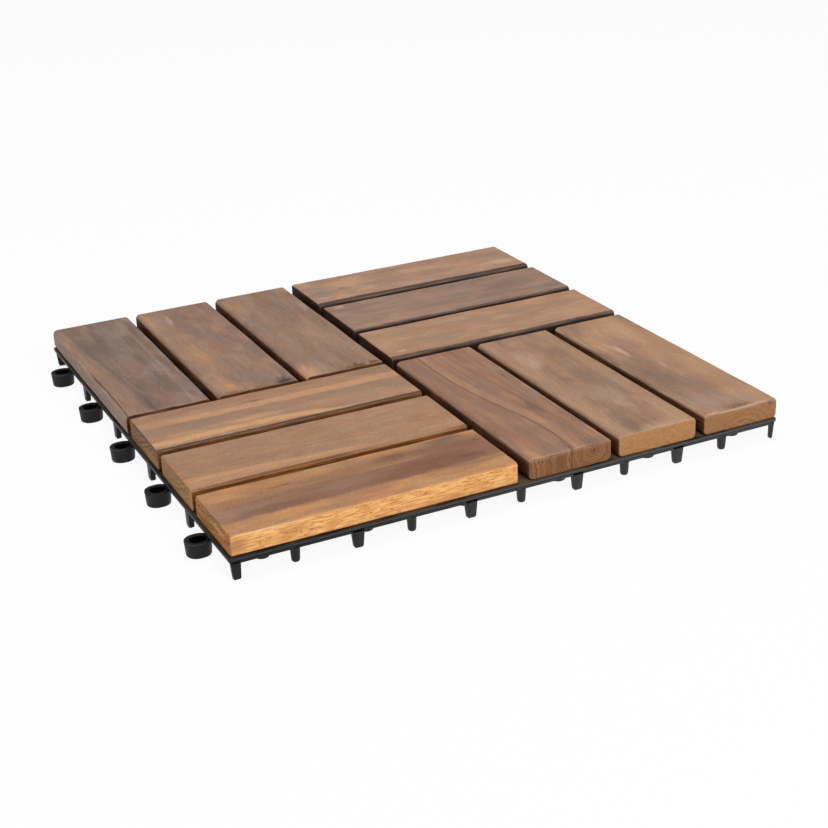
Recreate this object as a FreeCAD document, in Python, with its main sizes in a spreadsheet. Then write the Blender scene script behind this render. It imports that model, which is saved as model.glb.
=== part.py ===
import FreeCAD, Part
import math
import os

import Sketcher

# Interlocking deck tile: twelve hardwood slats screwed from below to one moulded base.
# Millimetres. X runs to the right along the front edge, Y to the back, Z up.
# The origin is on the floor, in the middle of the whole outline with its loops.

SIZES = [
    # the tile's own grid
    ("module_side", 300.0),
    ("joint_gap", 1.0),
    # slats, three to a group, fitted between the rim and the tile's middle
    ("slat_thickness", 11.2),
    ("slat_gap", 5.6),
    ("slat_rim_margin", 0.5),
    ("slat_end_inset", 0.35),
    ("slat_edge_radius", 2.6),
    ("front_left_edge_radius", 1.6),
    # how far each group of slats was screwed down off its true place
    ("back_left_shift_y", -1.0),
    ("back_right_shift_x", 0.7),
    ("back_right_shift_y", -0.5),
    ("front_left_shift_x", 0.5),
    ("front_left_shift_y", 0.5),
    ("front_right_shift_x", 0.5),
    # top plate and rim of the base
    ("seat_height", 11.4),
    ("plate_depth", 2.7),
    ("flange_depth", 1.8),
    ("band_inset", 0.8),
    ("rim_break", 0.4),
    ("skirt_drop", 0.7),
    ("skirt_pin_margin", 0.9),
    # the lattice: bars between the windows, ribs and posts under the plate
    ("lattice_margin", 19.5),
    ("window_bar", 26.0),
    ("rib_thickness", 2.2),
    ("rib_depth", 4.8),
    ("rib_end_inset", 8.0),
    ("post_radius", 6.6),
    ("post_lift", 0.4),
    # feet along the rim, each halfway between two links but for a small offset
    ("link_margin", 32.3),
    ("foot_offset", 1.3),
    ("foot_thickness", 2.6),
    ("foot_width", 6.4),
    ("foot_tip_width", 4.6),
    ("foot_tip_break", 0.9),
    # corner feet, of which the left ones stand in from the corner
    ("left_corner_foot_width", 4.1),
    ("left_corner_foot_inset", 0.7),
    ("right_corner_foot_width", 2.3),
    ("corner_foot_taper", 1.0),
    # pins on the front and right sides, loops on the left and back sides
    ("pin_inset", 3.2),
    ("pin_radius", 2.35),
    ("pin_lift", 0.5),
    ("pin_play", 1.0),
    ("loop_wall", 2.6),
    ("loop_stretch", 1.3),
    ("loop_corner_cut", 3.0),
    ("hole_corner_cut", 1.7),
    ("loop_top_gap", 0.2),
    ("loop_lift", 0.2),
    ("loop_edge_break", 1.0),
    # screws
    ("screw_head_radius", 3.4),
    ("screw_head_depth", 2.2),
    ("screw_shank_radius", 1.7),
    ("screw_bite", 7.5),
    ("screw_hole_play", 0.2),
    ("screw_offset", 8.0),
]

SLATS_PER_GROUP = 3
LATTICE_LINES = 6
LINKS_PER_SIDE = 5
# small repeated pieces have flat sides, to keep the whole light
POST_SIDES = 8
HEAD_SIDES = 8
SHANK_SIDES = 6
NUDGE = 0.001
ZERO = 0.0


class Size:
    """A length that carries its value and the expression that drives it."""

    def __init__(self, value, text):
        self.value = value
        self.text = text

    def __add__(self, other):
        other = as_size(other)
        return Size(self.value + other.value, f"({self.text} + {other.text})")

    def __sub__(self, other):
        other = as_size(other)
        return Size(self.value - other.value, f"({self.text} - {other.text})")

    def __mul__(self, factor):
        return Size(self.value * factor, f"({self.text} * {factor})")

    def __truediv__(self, factor):
        return Size(self.value / factor, f"({self.text} / {factor})")

    def __neg__(self):
        return Size(-self.value, f"(-{self.text})")


def as_size(number):
    return number if isinstance(number, Size) else Size(number, f"{number} mm")


def make_sheet(doc):
    sheet = doc.addObject("Spreadsheet::Sheet", "sizes")
    found = {}
    for row, (name, value) in enumerate(SIZES, start=1):
        sheet.set(f"A{row}", name)
        sheet.set(f"B{row}", str(value))
        sheet.setAlias(f"B{row}", name)
        found[name] = Size(value, f"(sizes.{name} * 1 mm)")
    doc.recompute()
    return found


def origin_part(body, role):
    return next(o for o in body.Origin.OriginFeatures if o.Role == role)


def drive(feature, name, size):
    """Sets a length of a feature and binds it to the sheet."""
    setattr(feature, name, size.value)
    feature.setExpression(name, size.text)


def sketch_on(body, name, role, offset=None):
    """A sketch on one of the body's own planes, moved along the plane's normal."""
    sketch = body.newObject("Sketcher::SketchObject", name)
    sketch.AttachmentSupport = [(origin_part(body, role), "")]
    sketch.MapMode = "FlatFace"
    if offset is not None:
        sketch.AttachmentOffset = FreeCAD.Placement(
            FreeCAD.Vector(0, 0, offset.value), FreeCAD.Rotation()
        )
        sketch.setExpression("AttachmentOffset.Base.z", offset.text)
    return sketch


def pin_point(sketch, geometry, end, x=None, y=None):
    """Holds one point of a sketch at x, at y or at both."""
    for kind, size in (("DistanceX", x), ("DistanceY", y)):
        if size is None:
            continue
        size = as_size(size)
        index = sketch.addConstraint(
            Sketcher.Constraint(kind, -1, 1, geometry, end, size.value)
        )
        sketch.setExpression(f"Constraints[{index}]", size.text)


def outline(sketch, points):
    """A closed outline of straight lines through the given corners."""
    corners = [(as_size(x), as_size(y)) for x, y in points]
    first = sketch.GeometryCount
    count = len(corners)
    for i, (x, y) in enumerate(corners):
        nx, ny = corners[(i + 1) % count]
        line = Part.LineSegment(
            FreeCAD.Vector(x.value, y.value, 0), FreeCAD.Vector(nx.value, ny.value, 0)
        )
        sketch.addGeometry(line)
    for i in range(count):
        following = first + (i + 1) % count
        sketch.addConstraint(Sketcher.Constraint("Coincident", first + i, 2, following, 1))
    for i, (x, y) in enumerate(corners):
        pin_point(sketch, first + i, 1, x, y)


def rectangle(sketch, low, high):
    outline(sketch, [low, (high[0], low[1]), high, (low[0], high[1])])


def circle(sketch, x, y, radius):
    x, y = as_size(x), as_size(y)
    centre = FreeCAD.Vector(x.value, y.value, 0)
    index = sketch.addGeometry(Part.Circle(centre, FreeCAD.Vector(0, 0, 1), radius.value))
    pin_point(sketch, index, 3, x, y)
    held = sketch.addConstraint(Sketcher.Constraint("Radius", index, radius.value))
    sketch.setExpression(f"Constraints[{held}]", radius.text)


def strap(sketch, root_x, cap_x, y, radius, cut):
    """A ring's outline along X: round at its cap, at the low X, with cut corners at its root."""
    first = sketch.GeometryCount
    cap, middle, r = cap_x.value, y.value, radius.value
    round_end = Part.Circle(FreeCAD.Vector(cap, middle, 0), FreeCAD.Vector(0, 0, 1), r)
    sketch.addGeometry(Part.ArcOfCircle(round_end, math.pi / 2, 3 * math.pi / 2))
    low, high = y - radius, y + radius
    corners = [
        (cap_x, low),
        (root_x - cut, low),
        (root_x, low + cut),
        (root_x, high - cut),
        (root_x - cut, high),
        (cap_x, high),
    ]
    points = [FreeCAD.Vector(a.value, b.value, 0) for a, b in corners]
    for start, end in zip(points, points[1:]):
        sketch.addGeometry(Part.LineSegment(start, end))
    pin_point(sketch, first, 3, cap_x, y)
    held = sketch.addConstraint(Sketcher.Constraint("Radius", first, r))
    sketch.setExpression(f"Constraints[{held}]", radius.text)
    sketch.addConstraint(Sketcher.Constraint("Tangent", first, 2, first + 1, 1))
    sketch.addConstraint(Sketcher.Constraint("Tangent", first + 5, 2, first, 1))
    sketch.addConstraint(Sketcher.Constraint("Horizontal", first + 1))
    sketch.addConstraint(Sketcher.Constraint("Horizontal", first + 5))
    for i in range(1, 5):
        sketch.addConstraint(Sketcher.Constraint("Coincident", first + i, 2, first + i + 1, 1))
    pin_point(sketch, first + 2, 1, x=corners[1][0])
    pin_point(sketch, first + 3, 1, *corners[2])
    pin_point(sketch, first + 4, 1, *corners[3])
    pin_point(sketch, first + 5, 1, x=corners[4][0])


def extrude(body, name, sketch, length, down=False, cut=False):
    """Pads a sketch up or down, or cuts it away."""
    kind = "PartDesign::Pocket" if cut else "PartDesign::Pad"
    feature = body.newObject(kind, name)
    feature.Profile = sketch
    drive(feature, "Length", length)
    # a pocket goes against the sketch's normal unless it is reversed
    feature.Reversed = down != cut
    return feature


def line_pattern(body, name, role, span, count):
    pattern = body.newObject("PartDesign::LinearPattern", name)
    pattern.Direction = (origin_part(body, role), [""])
    drive(pattern, "Length", span)
    pattern.Occurrences = count
    return pattern


def turn_pattern(body, name, angle, count, backwards=False):
    pattern = body.newObject("PartDesign::PolarPattern", name)
    pattern.Axis = (origin_part(body, "Z_Axis"), [""])
    pattern.Angle = angle
    pattern.Occurrences = count
    pattern.Reversed = backwards
    return pattern


def repeat(body, name, features, patterns):
    """Repeats features by one pattern after another and makes the result the body's tip."""
    multi = body.newObject("PartDesign::MultiTransform", name)
    multi.Originals = features
    multi.Transformations = patterns
    body.Tip = multi
    return multi


def edges_where(feature, test):
    return [f"Edge{i}" for i, e in enumerate(feature.Shape.Edges, start=1) if test(e)]


def flat_at(edge, height):
    box = edge.BoundBox
    return abs(box.ZMin - height) < NUDGE and abs(box.ZMax - height) < NUDGE


def prism(body, name, sides, radius, length, place, cut=False):
    """An upright many-sided prism that starts at the given place in the body."""
    kind = "PartDesign::SubtractivePrism" if cut else "PartDesign::AdditivePrism"
    feature = body.newObject(kind, name)
    feature.AttachmentSupport = [(origin_part(body, "XY_Plane"), "")]
    feature.MapMode = "FlatFace"
    feature.Polygon = sides
    drive(feature, "Circumradius", as_size(radius))
    drive(feature, "Height", length)
    spots = [as_size(number) for number in place]
    feature.AttachmentOffset = FreeCAD.Placement(
        FreeCAD.Vector(*[spot.value for spot in spots]), FreeCAD.Rotation()
    )
    for axis, spot in zip("xyz", spots):
        feature.setExpression(f"AttachmentOffset.Base.{axis}", spot.text)
    body.Document.recompute()
    return feature


def break_edges(body, name, feature, edges, size):
    chamfer = body.newObject("PartDesign::Chamfer", name)
    chamfer.Base = (feature, edges)
    drive(chamfer, "Size", size)
    body.Tip = chamfer
    return chamfer


class Tile:
    """Places shared by the pieces, all worked out from the sheet."""

    def __init__(self, s):
        self.half_side = (s["module_side"] - s["joint_gap"]) / 2
        self.half_band = self.half_side - s["band_inset"]
        self.plate_low = s["seat_height"] - s["plate_depth"]
        self.skirt_low = self.plate_low - s["skirt_drop"]
        # a group of slats is as wide as it is long, but for its slats' ends
        side_gaps = SLATS_PER_GROUP - 1
        span = self.half_side - s["slat_rim_margin"] - s["slat_gap"] / 2
        self.slat_width = (span - s["slat_gap"] * side_gaps) / SLATS_PER_GROUP
        self.slat_length = span - s["slat_end_inset"] * 2
        self.slat_pitch = self.slat_width + s["slat_gap"]
        self.group_centre = (span + s["slat_gap"]) / 2
        self.lattice_half = self.half_side - s["lattice_margin"]
        self.lattice_pitch = self.lattice_half * 2 / (LATTICE_LINES - 1)
        self.pin_line = self.half_side - s["pin_inset"]
        # the skirt reaches in far enough for the pins to hang from it
        self.skirt_inside = self.pin_line - s["pin_radius"] - s["skirt_pin_margin"]
        # a neighbour's pin stands in the loop when the tiles lie one module apart
        self.loop_line = s["module_side"] - self.pin_line
        self.link_half = self.half_side - s["link_margin"]
        self.link_pitch = self.link_half * 2 / (LINKS_PER_SIDE - 1)
        self.foot_half = self.link_half - self.link_pitch / 2
        self.hole_radius = s["pin_radius"] + s["pin_play"]
        self.loop_radius = self.hole_radius + s["loop_wall"]
        # the loops stand out to the left and the back, and the origin is amid it all
        reach = self.loop_line + self.loop_radius
        self.shift_x = (reach - self.half_side) / 2
        self.shift_y = -self.shift_x


def add_plate(body, s, t):
    """The plate that the slats sit on, the rim's stepped outer edge and its skirt."""
    low = sketch_on(body, "band_outline", "XY_Plane", t.skirt_low)
    rectangle(low, (-t.half_band, -t.half_band), (t.half_band, t.half_band))
    extrude(body, "band", low, s["skirt_drop"] + s["plate_depth"] - s["flange_depth"])
    body.Document.recompute()
    inside = t.skirt_inside
    hollow = sketch_on(body, "skirt_inside", "XY_Plane", t.skirt_low)
    rectangle(hollow, (-inside, -inside), (inside, inside))
    extrude(body, "skirt_hollow", hollow, s["skirt_drop"], cut=True)
    body.Document.recompute()
    top = sketch_on(body, "flange_outline", "XY_Plane", s["seat_height"] - s["flange_depth"])
    rectangle(top, (-t.half_side, -t.half_side), (t.half_side, t.half_side))
    flange = extrude(body, "flange", top, s["flange_depth"])
    body.Document.recompute()
    seat = s["seat_height"].value
    edges = edges_where(flange, lambda e: flat_at(e, seat))
    break_edges(body, "rim_edge", flange, edges, s["rim_break"])
    body.Document.recompute()


def add_windows(body, s, t):
    """Square drainage windows between the lines of the lattice."""
    sketch = sketch_on(body, "window_outline", "XY_Plane", s["seat_height"])
    half = (t.lattice_pitch - s["window_bar"]) / 2
    first = -(t.lattice_half - t.lattice_pitch / 2)
    rectangle(sketch, (first - half, first - half), (first + half, first + half))
    window = extrude(body, "window", sketch, s["plate_depth"], down=True, cut=True)
    body.Document.recompute()
    spaces = LATTICE_LINES - 1
    span = t.lattice_pitch * (spaces - 1)
    rows = line_pattern(body, "window_rows", "Y_Axis", span, spaces)
    columns = line_pattern(body, "window_columns", "X_Axis", span, spaces)
    repeat(body, "windows", [window], [rows, columns])
    body.Document.recompute()


def add_ribs(body, s, t):
    """Ribs under the plate, along every line of the lattice, both ways."""
    end = t.half_band - s["rib_end_inset"]
    half = s["rib_thickness"] / 2
    for name, along_x in (("cross_rib", True), ("long_rib", False)):
        sketch = sketch_on(body, f"{name}_outline", "XY_Plane", t.plate_low)
        near, far = -t.lattice_half - half, -t.lattice_half + half
        if along_x:
            rectangle(sketch, (-end, near), (end, far))
        else:
            rectangle(sketch, (near, -end), (far, end))
        rib = extrude(body, name, sketch, s["rib_depth"], down=True)
        body.Document.recompute()
        role = "Y_Axis" if along_x else "X_Axis"
        lines = line_pattern(body, f"{name}_lines", role, t.lattice_half * 2, LATTICE_LINES)
        repeat(body, f"{name}s", [rib], [lines])
        body.Document.recompute()


def add_posts(body, s, t):
    """Posts where the outermost ribs cross the others."""
    place = (-t.lattice_half, -t.lattice_half, s["post_lift"])
    height = t.plate_low - s["post_lift"]
    post = prism(body, "post", POST_SIDES, s["post_radius"], height, place)
    span = t.lattice_half * 2 - t.lattice_pitch
    row = line_pattern(body, "post_row", "X_Axis", span, LATTICE_LINES - 1)
    ring = turn_pattern(body, "post_ring", 360, 4)
    repeat(body, "posts", [post], [row, ring])
    body.Document.recompute()


def add_feet(body, s, t):
    """Tapered blades flush with the rim's lower band, between the pins and loops."""
    wide, tip, cut = s["foot_width"] / 2, s["foot_tip_width"] / 2, s["foot_tip_break"]
    span = t.foot_half * 2
    count = LINKS_PER_SIDE - 1
    across = t.half_band * 2 - s["foot_thickness"]
    for name, role in (("front_foot", "XZ_Plane"), ("side_foot", "YZ_Plane")):
        # the XZ plane's normal points to -Y, and the YZ plane's to +X
        front = role == "XZ_Plane"
        sketch = sketch_on(body, f"{name}_outline", role, t.half_band if front else -t.half_band)
        x = s["foot_offset"] - t.foot_half if front else -t.foot_half - s["foot_offset"]
        corners = [
            (x - wide, t.plate_low),
            (x - tip, cut),
            (x - tip + cut, ZERO),
            (x + tip - cut, ZERO),
            (x + tip, cut),
            (x + wide, t.plate_low),
        ]
        outline(sketch, corners)
        foot = extrude(body, name, sketch, s["foot_thickness"], down=front)
        body.Document.recompute()
        along, over = ("X_Axis", "Y_Axis") if front else ("Y_Axis", "X_Axis")
        row = line_pattern(body, f"{name}_row", along, span, count)
        pair = line_pattern(body, f"{name}_pair", over, across, 2)
        repeat(body, f"{name}s", [foot], [row, pair])
        body.Document.recompute()


def add_corner_feet(body, s, t):
    """A foot at each corner, tapered on its outer side, the front ones and then the back ones."""
    depth, taper, edge = s["foot_thickness"], s["corner_foot_taper"], t.half_band
    left = s["left_corner_foot_inset"] - edge
    left_end = left + s["left_corner_foot_width"]
    right_start = edge - s["right_corner_foot_width"]
    feet = [
        ("left_corner_foot", (left, left_end), (left + taper, left_end)),
        ("right_corner_foot", (right_start, edge), (right_start, edge - taper)),
    ]
    for name, top_span, tip_span in feet:
        top = sketch_on(body, f"{name}_top", "XY_Plane", t.plate_low)
        rectangle(top, (top_span[0], -edge), (top_span[1], depth - edge))
        tip = sketch_on(body, f"{name}_tip", "XY_Plane")
        rectangle(tip, (tip_span[0], -edge), (tip_span[1], depth - edge))
        foot = body.newObject("PartDesign::AdditiveLoft", name)
        foot.Profile = top
        foot.Sections = [tip]
        foot.Ruled = True
        body.Document.recompute()
        pair = line_pattern(body, f"{name}_pair", "Y_Axis", edge * 2 - depth, 2)
        repeat(body, f"{name}s", [foot], [pair])
        body.Document.recompute()


def add_pins(body, s, t):
    """Round pins that hang from the front and right edges."""
    sketch = sketch_on(body, "pin_outline", "XY_Plane", t.skirt_low)
    circle(sketch, -t.link_half, -t.pin_line, s["pin_radius"])
    pin = extrude(body, "pin", sketch, t.skirt_low - s["pin_lift"], down=True)
    body.Document.recompute()
    row = line_pattern(body, "pin_row", "X_Axis", t.link_half * 2, LINKS_PER_SIDE)
    sides = turn_pattern(body, "pin_sides", 90, 2)
    repeat(body, "pins", [pin], [row, sides])
    body.Document.recompute()


def add_loops(body, s, t):
    """Loops that reach out under the neighbour's rim on the left and back sides."""
    cap = -t.loop_line
    middle = -t.link_half
    top = t.skirt_low - s["loop_top_gap"]
    root = cap + s["loop_stretch"] + t.loop_radius
    hole_root = cap + s["loop_stretch"] + t.hole_radius
    ring_sketch = sketch_on(body, "loop_outline", "XY_Plane", s["loop_lift"])
    strap(ring_sketch, root, cap, middle, t.loop_radius, s["loop_corner_cut"])
    strap(ring_sketch, hole_root, cap, middle, t.hole_radius, s["hole_corner_cut"])
    ring = extrude(body, "loop", ring_sketch, top - s["loop_lift"])
    body.Document.recompute()
    # the root joins the skirt from below, and stays clear of the hole
    root_sketch = sketch_on(body, "loop_root_outline", "XY_Plane", top)
    half = t.loop_radius - s["loop_corner_cut"]
    rectangle(root_sketch, (-t.half_band, middle - half), (root, middle + half))
    web = extrude(body, "loop_root", root_sketch, s["loop_top_gap"])
    body.Document.recompute()
    row = line_pattern(body, "loop_row", "Y_Axis", t.link_half * 2, LINKS_PER_SIDE)
    sides = turn_pattern(body, "loop_sides", 90, 2, backwards=True)
    loops = repeat(body, "loops", [ring, web], [row, sides])
    body.Document.recompute()
    height = s["loop_lift"].value
    outer = t.loop_radius.value

    def outer_arc(edge):
        round_edge = hasattr(edge.Curve, "Radius")
        return flat_at(edge, height) and round_edge and abs(edge.Curve.Radius - outer) < NUDGE

    arcs = edges_where(loops, outer_arc)
    break_edges(body, "loop_edges", loops, arcs, s["loop_edge_break"])
    body.Document.recompute()


def screw_spots(s, t, side_x, side_y, along_y, number):
    """Where a slat's two screws stand: beside a line of the lattice, between two windows."""
    side_along, side_across = (side_y, side_x) if along_y else (side_x, side_y)
    middle = (SLATS_PER_GROUP + 1) / 2
    line = t.lattice_pitch * (SLATS_PER_GROUP / 2 * side_across + number - middle)
    spots = []
    for end, cells, direction in (("a", 1, -1), ("b", 2, 1)):
        along = t.lattice_pitch * (cells * side_along)
        across = line + s["screw_offset"] * (direction * side_across)
        spots.append((end, across, along) if along_y else (end, along, across))
    return spots


def add_screw_holes(body, s, t):
    """Clearance holes through the plate, two under each slat."""
    radius = s["screw_shank_radius"] + s["screw_hole_play"]
    holes = []
    for end, x, y in screw_spots(s, t, -1, -1, False, 1):
        place = (x, y, t.plate_low)
        hole = prism(body, f"hole_{end}", SHANK_SIDES, radius, s["plate_depth"], place, cut=True)
        holes.append(hole)
    span = t.lattice_pitch * (SLATS_PER_GROUP - 1)
    row = line_pattern(body, "hole_row", "Y_Axis", span, SLATS_PER_GROUP)
    groups = turn_pattern(body, "hole_groups", 360, 4)
    repeat(body, "screw_holes", holes, [row, groups])
    body.Document.recompute()


def place_body(body, t, x, y, z, quarter_turns):
    """Stands a body at x, y, z from the tile's centre on the floor."""
    spin = FreeCAD.Rotation(FreeCAD.Vector(0, 0, 1), 90 * quarter_turns)
    spots = [t.shift_x + x, t.shift_y + y, as_size(z)]
    body.Placement = FreeCAD.Placement(FreeCAD.Vector(*[spot.value for spot in spots]), spin)
    for axis, spot in zip("xyz", spots):
        body.setExpression(f"Placement.Base.{axis}", spot.text)


def make_base(doc, s, t):
    body = doc.addObject("PartDesign::Body", "base")
    body.Label = "base"
    doc.recompute()
    add_plate(body, s, t)
    add_corner_feet(body, s, t)
    add_pins(body, s, t)
    add_feet(body, s, t)
    add_loops(body, s, t)
    add_screw_holes(body, s, t)
    add_windows(body, s, t)
    add_ribs(body, s, t)
    add_posts(body, s, t)
    place_body(body, t, ZERO, ZERO, ZERO, 0)
    return body


def make_slat(doc, s, t, name, radius, pilots):
    """A slat that runs along its own X, standing on its own XY plane."""
    body = doc.addObject("PartDesign::Body", name)
    body.Label = name
    doc.recompute()
    half = t.slat_width / 2
    sketch = sketch_on(body, f"{name}_section", "YZ_Plane")
    rectangle(sketch, (-half, ZERO), (half, s["slat_thickness"]))
    bar = extrude(body, f"{name}_bar", sketch, t.slat_length)
    bar.Midplane = True
    doc.recompute()
    rounding = body.newObject("PartDesign::Fillet", f"{name}_rounding")
    length = t.slat_length.value
    long_edges = edges_where(bar, lambda e: abs(e.BoundBox.XLength - length) < NUDGE)
    rounding.Base = (bar, long_edges)
    drive(rounding, "Radius", radius)
    doc.recompute()
    for end, x, y in pilots:
        shank, bite = s["screw_shank_radius"], s["screw_bite"]
        prism(body, f"{name}_pilot_{end}", SHANK_SIDES, shank, bite, (x, y, ZERO), cut=True)
    return body


def make_screw(doc, s, name):
    """A pan-head wood screw, point up. Its own XY plane is where the head meets the plate."""
    body = doc.addObject("PartDesign::Body", name)
    body.Label = name
    doc.recompute()
    depth = s["screw_head_depth"]
    prism(body, f"{name}_head", HEAD_SIDES, s["screw_head_radius"], depth, (ZERO, ZERO, -depth))
    length = s["plate_depth"] + s["screw_bite"]
    radius = s["screw_shank_radius"]
    prism(body, f"{name}_shank", SHANK_SIDES, radius, length, (ZERO, ZERO, ZERO))
    return body


GROUPS = [
    # name, side in X, side in Y, whether its slats run along Y
    ("back_left", -1, 1, True),
    ("back_right", 1, 1, False),
    ("front_left", -1, -1, False),
    ("front_right", 1, -1, True),
]


def make_group(doc, s, t, name, side_x, side_y, along_y):
    """Three slats and their screws."""
    shift_x = s.get(f"{name}_shift_x", as_size(ZERO))
    shift_y = s.get(f"{name}_shift_y", as_size(ZERO))
    radius = s.get(f"{name}_edge_radius", s["slat_edge_radius"])
    turns = 1 if along_y else 0
    bodies = []
    for number in range(1, SLATS_PER_GROUP + 1):
        step = t.slat_pitch * (number - (SLATS_PER_GROUP + 1) / 2)
        x = t.group_centre * side_x + shift_x
        y = t.group_centre * side_y + shift_y
        if along_y:
            x = x + step
        else:
            y = y + step
        spots = screw_spots(s, t, side_x, side_y, along_y, number)
        pilots = []
        for end, spot_x, spot_y in spots:
            off_x, off_y = spot_x - x, spot_y - y
            pilots.append((end, off_y, -off_x) if along_y else (end, off_x, off_y))
        slat = make_slat(doc, s, t, f"slat_{name}_{number}", radius, pilots)
        place_body(slat, t, x, y, s["seat_height"], turns)
        bodies.append(slat)
        for end, spot_x, spot_y in spots:
            screw = make_screw(doc, s, f"screw_{name}_{number}{end}")
            place_body(screw, t, spot_x, spot_y, t.plate_low, turns)
            bodies.append(screw)
    return bodies


def check(doc, bodies):
    for item in doc.Objects:
        if "Invalid" in item.State or "Error" in item.State:
            raise RuntimeError(f"{item.Name} failed: {item.State}")
    for body in bodies:
        if body.Shape.isNull() or not body.Shape.isValid() or len(body.Shape.Solids) != 1:
            raise RuntimeError(f"{body.Label} has no single valid solid")


def main():
    doc = FreeCAD.newDocument("deck_tile")
    s = make_sheet(doc)
    t = Tile(s)
    bodies = [make_base(doc, s, t)]
    for name, side_x, side_y, along_y in GROUPS:
        bodies += make_group(doc, s, t, name, side_x, side_y, along_y)
    doc.recompute()
    check(doc, bodies)
    os.makedirs("parts", exist_ok=True)
    for body in bodies:
        body.Shape.exportStep(f"parts/{body.Label}.step")


main()
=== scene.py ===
import math

import bmesh
import bpy
from mathutils import Matrix, Vector, noise


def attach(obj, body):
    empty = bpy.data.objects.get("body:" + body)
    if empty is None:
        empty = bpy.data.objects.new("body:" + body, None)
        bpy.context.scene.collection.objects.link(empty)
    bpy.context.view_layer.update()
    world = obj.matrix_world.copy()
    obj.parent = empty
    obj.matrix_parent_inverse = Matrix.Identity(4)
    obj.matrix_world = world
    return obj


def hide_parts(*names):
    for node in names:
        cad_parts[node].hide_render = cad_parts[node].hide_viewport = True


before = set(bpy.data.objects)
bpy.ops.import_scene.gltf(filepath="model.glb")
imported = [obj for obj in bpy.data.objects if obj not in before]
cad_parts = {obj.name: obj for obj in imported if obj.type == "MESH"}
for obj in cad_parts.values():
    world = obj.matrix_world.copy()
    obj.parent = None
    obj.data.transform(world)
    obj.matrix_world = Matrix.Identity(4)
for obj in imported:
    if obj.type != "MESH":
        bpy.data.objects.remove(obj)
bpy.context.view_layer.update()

# Sizes in millimetres, the same as the part's where it has them. Heights are above the floor.
# The tile's own centre stands off the origin, because the loops reach out to the left and back.
MM = 0.001
SHIFT = 5.075
SEAT = 11.4  # the plate's upper face, on which the slats lie
TOP = 22.6

# the rim: a flange over a lower band, with a skirt inside it
HALF_SIDE = 149.5
HALF_BAND = 148.7
RIM_WIDTH = 11.5
RIM_CORNER = 1.6
FLANGE_LOW = 9.6
SKIRT_LOW = 8.0
SKIRT_INSET = 6.45

# the plate and what hangs from it
PLATE_LOW = 8.7
LATTICE = 52.0
WINDOW_HALF = 13.0
RIB_HALF = 1.1
RIB_LOW = 3.9
RIB_REACH = HALF_BAND - 8.0
STUD_LINE = 137.0
FOOT_DEPTH = 2.6
FOOT_OFFSET = 1.3

# the joint with the next tile
LINK = 58.6
PIN_LINE = 146.3
LOOP_LINE = 153.7
HOLE_RADIUS = 3.35
LOOP_RADIUS = 5.95
LOOP_STRETCH = 1.3
LOOP_LOW = 0.2
LOOP_HIGH = SKIRT_LOW - 0.2
LOOP_ROOT = ((-148.6, -3.2), (-146.6, -3.2), (-146.6, 3.2), (-148.6, 3.2))

# the slats and their screws
SLAT_WIDTH = 45.0
SLAT_LENGTH = 145.5
SLAT_THICK = 11.2
SLAT_PITCH = 50.6
GROUP_CENTRE = 75.9
SCREW_ASIDE = 8.0
SHANK_END = 9.0
THREAD_PITCH = 1.1


def to_row(x, y, z):
    """Metres in the row's frame, from millimetres from the tile's centre on the floor."""
    return Vector(((x + SHIFT) * MM, (y - SHIFT) * MM, z * MM))


def make_mesh(name, bm, material, smooth_angle):
    mesh = bpy.data.meshes.new(name)
    bm.normal_update()
    bm.to_mesh(mesh)
    bm.free()
    mesh.materials.append(material)
    mesh.shade_smooth()
    mesh.set_sharp_from_angle(angle=math.radians(smooth_angle))
    return mesh


def make_object(name, mesh):
    piece = bpy.data.objects.new(name, mesh)
    bpy.context.collection.objects.link(piece)
    return piece


# ------------ materials
#
# Every colour in this file is in thousandths, and the strength of a line or spot in hundredths.

PER_METRE = (1000.0, 1000.0, 1000.0)
LUMA = (0.3, 0.6, 0.1)
WHITE = (1000, 1000, 1000)


class Value:
    """What a node puts out. Each sign between values adds one node to the tree."""

    def __init__(self, nodes, socket):
        self.nodes = nodes
        self.socket = socket

    def __add__(self, other):
        return self.nodes.math("ADD", self, other)

    def __sub__(self, other):
        return self.nodes.math("SUBTRACT", self, other)

    def __rsub__(self, other):
        return self.nodes.math("SUBTRACT", other, self)

    def __mul__(self, other):
        return self.nodes.math("MULTIPLY", self, other)

    def __truediv__(self, other):
        return self.nodes.math("DIVIDE", self, other)

    def __abs__(self):
        return self.nodes.math("ABSOLUTE", self)

    def fit(self, factor, more):
        """This value times the factor, plus more, in one node."""
        return self.nodes.math("MULTIPLY_ADD", self, factor, more)

    def step(self, low, high, out_low=0.0, out_high=1.0):
        """Goes smoothly from out_low to out_high as this value goes from low to high."""
        inputs = dict(enumerate((self, low, high, out_low, out_high)))
        way = "SMOOTHSTEP"
        return self.nodes.put("ShaderNodeMapRange", inputs, interpolation_type=way, clamp=True)

    def fall(self, low, high):
        """Goes smoothly from one to nought as this value goes from low to high."""
        return self.step(low, high, 1.0, 0.0)

    def curve(self, points, span):
        """A smooth curve through points of (place along the span, height)."""
        heights = [height for _, height in points]
        low, high = min(heights), max(heights)
        room = max(high - low, 0.001)
        spots = [(place / span, (height - low) / room) for place, height in points]
        share = self.nodes.math("DIVIDE", self, span, clamp=True)
        curve = self.nodes.put("ShaderNodeFloatCurve", {"Value": share})
        mapping = curve.socket.node.mapping
        line = mapping.curves[0]
        line.points[0].location = spots[0]
        line.points[1].location = spots[-1]
        for spot in spots[1:-1]:
            line.points.new(*spot)
        mapping.update()
        return curve.fit(room, low)


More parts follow.
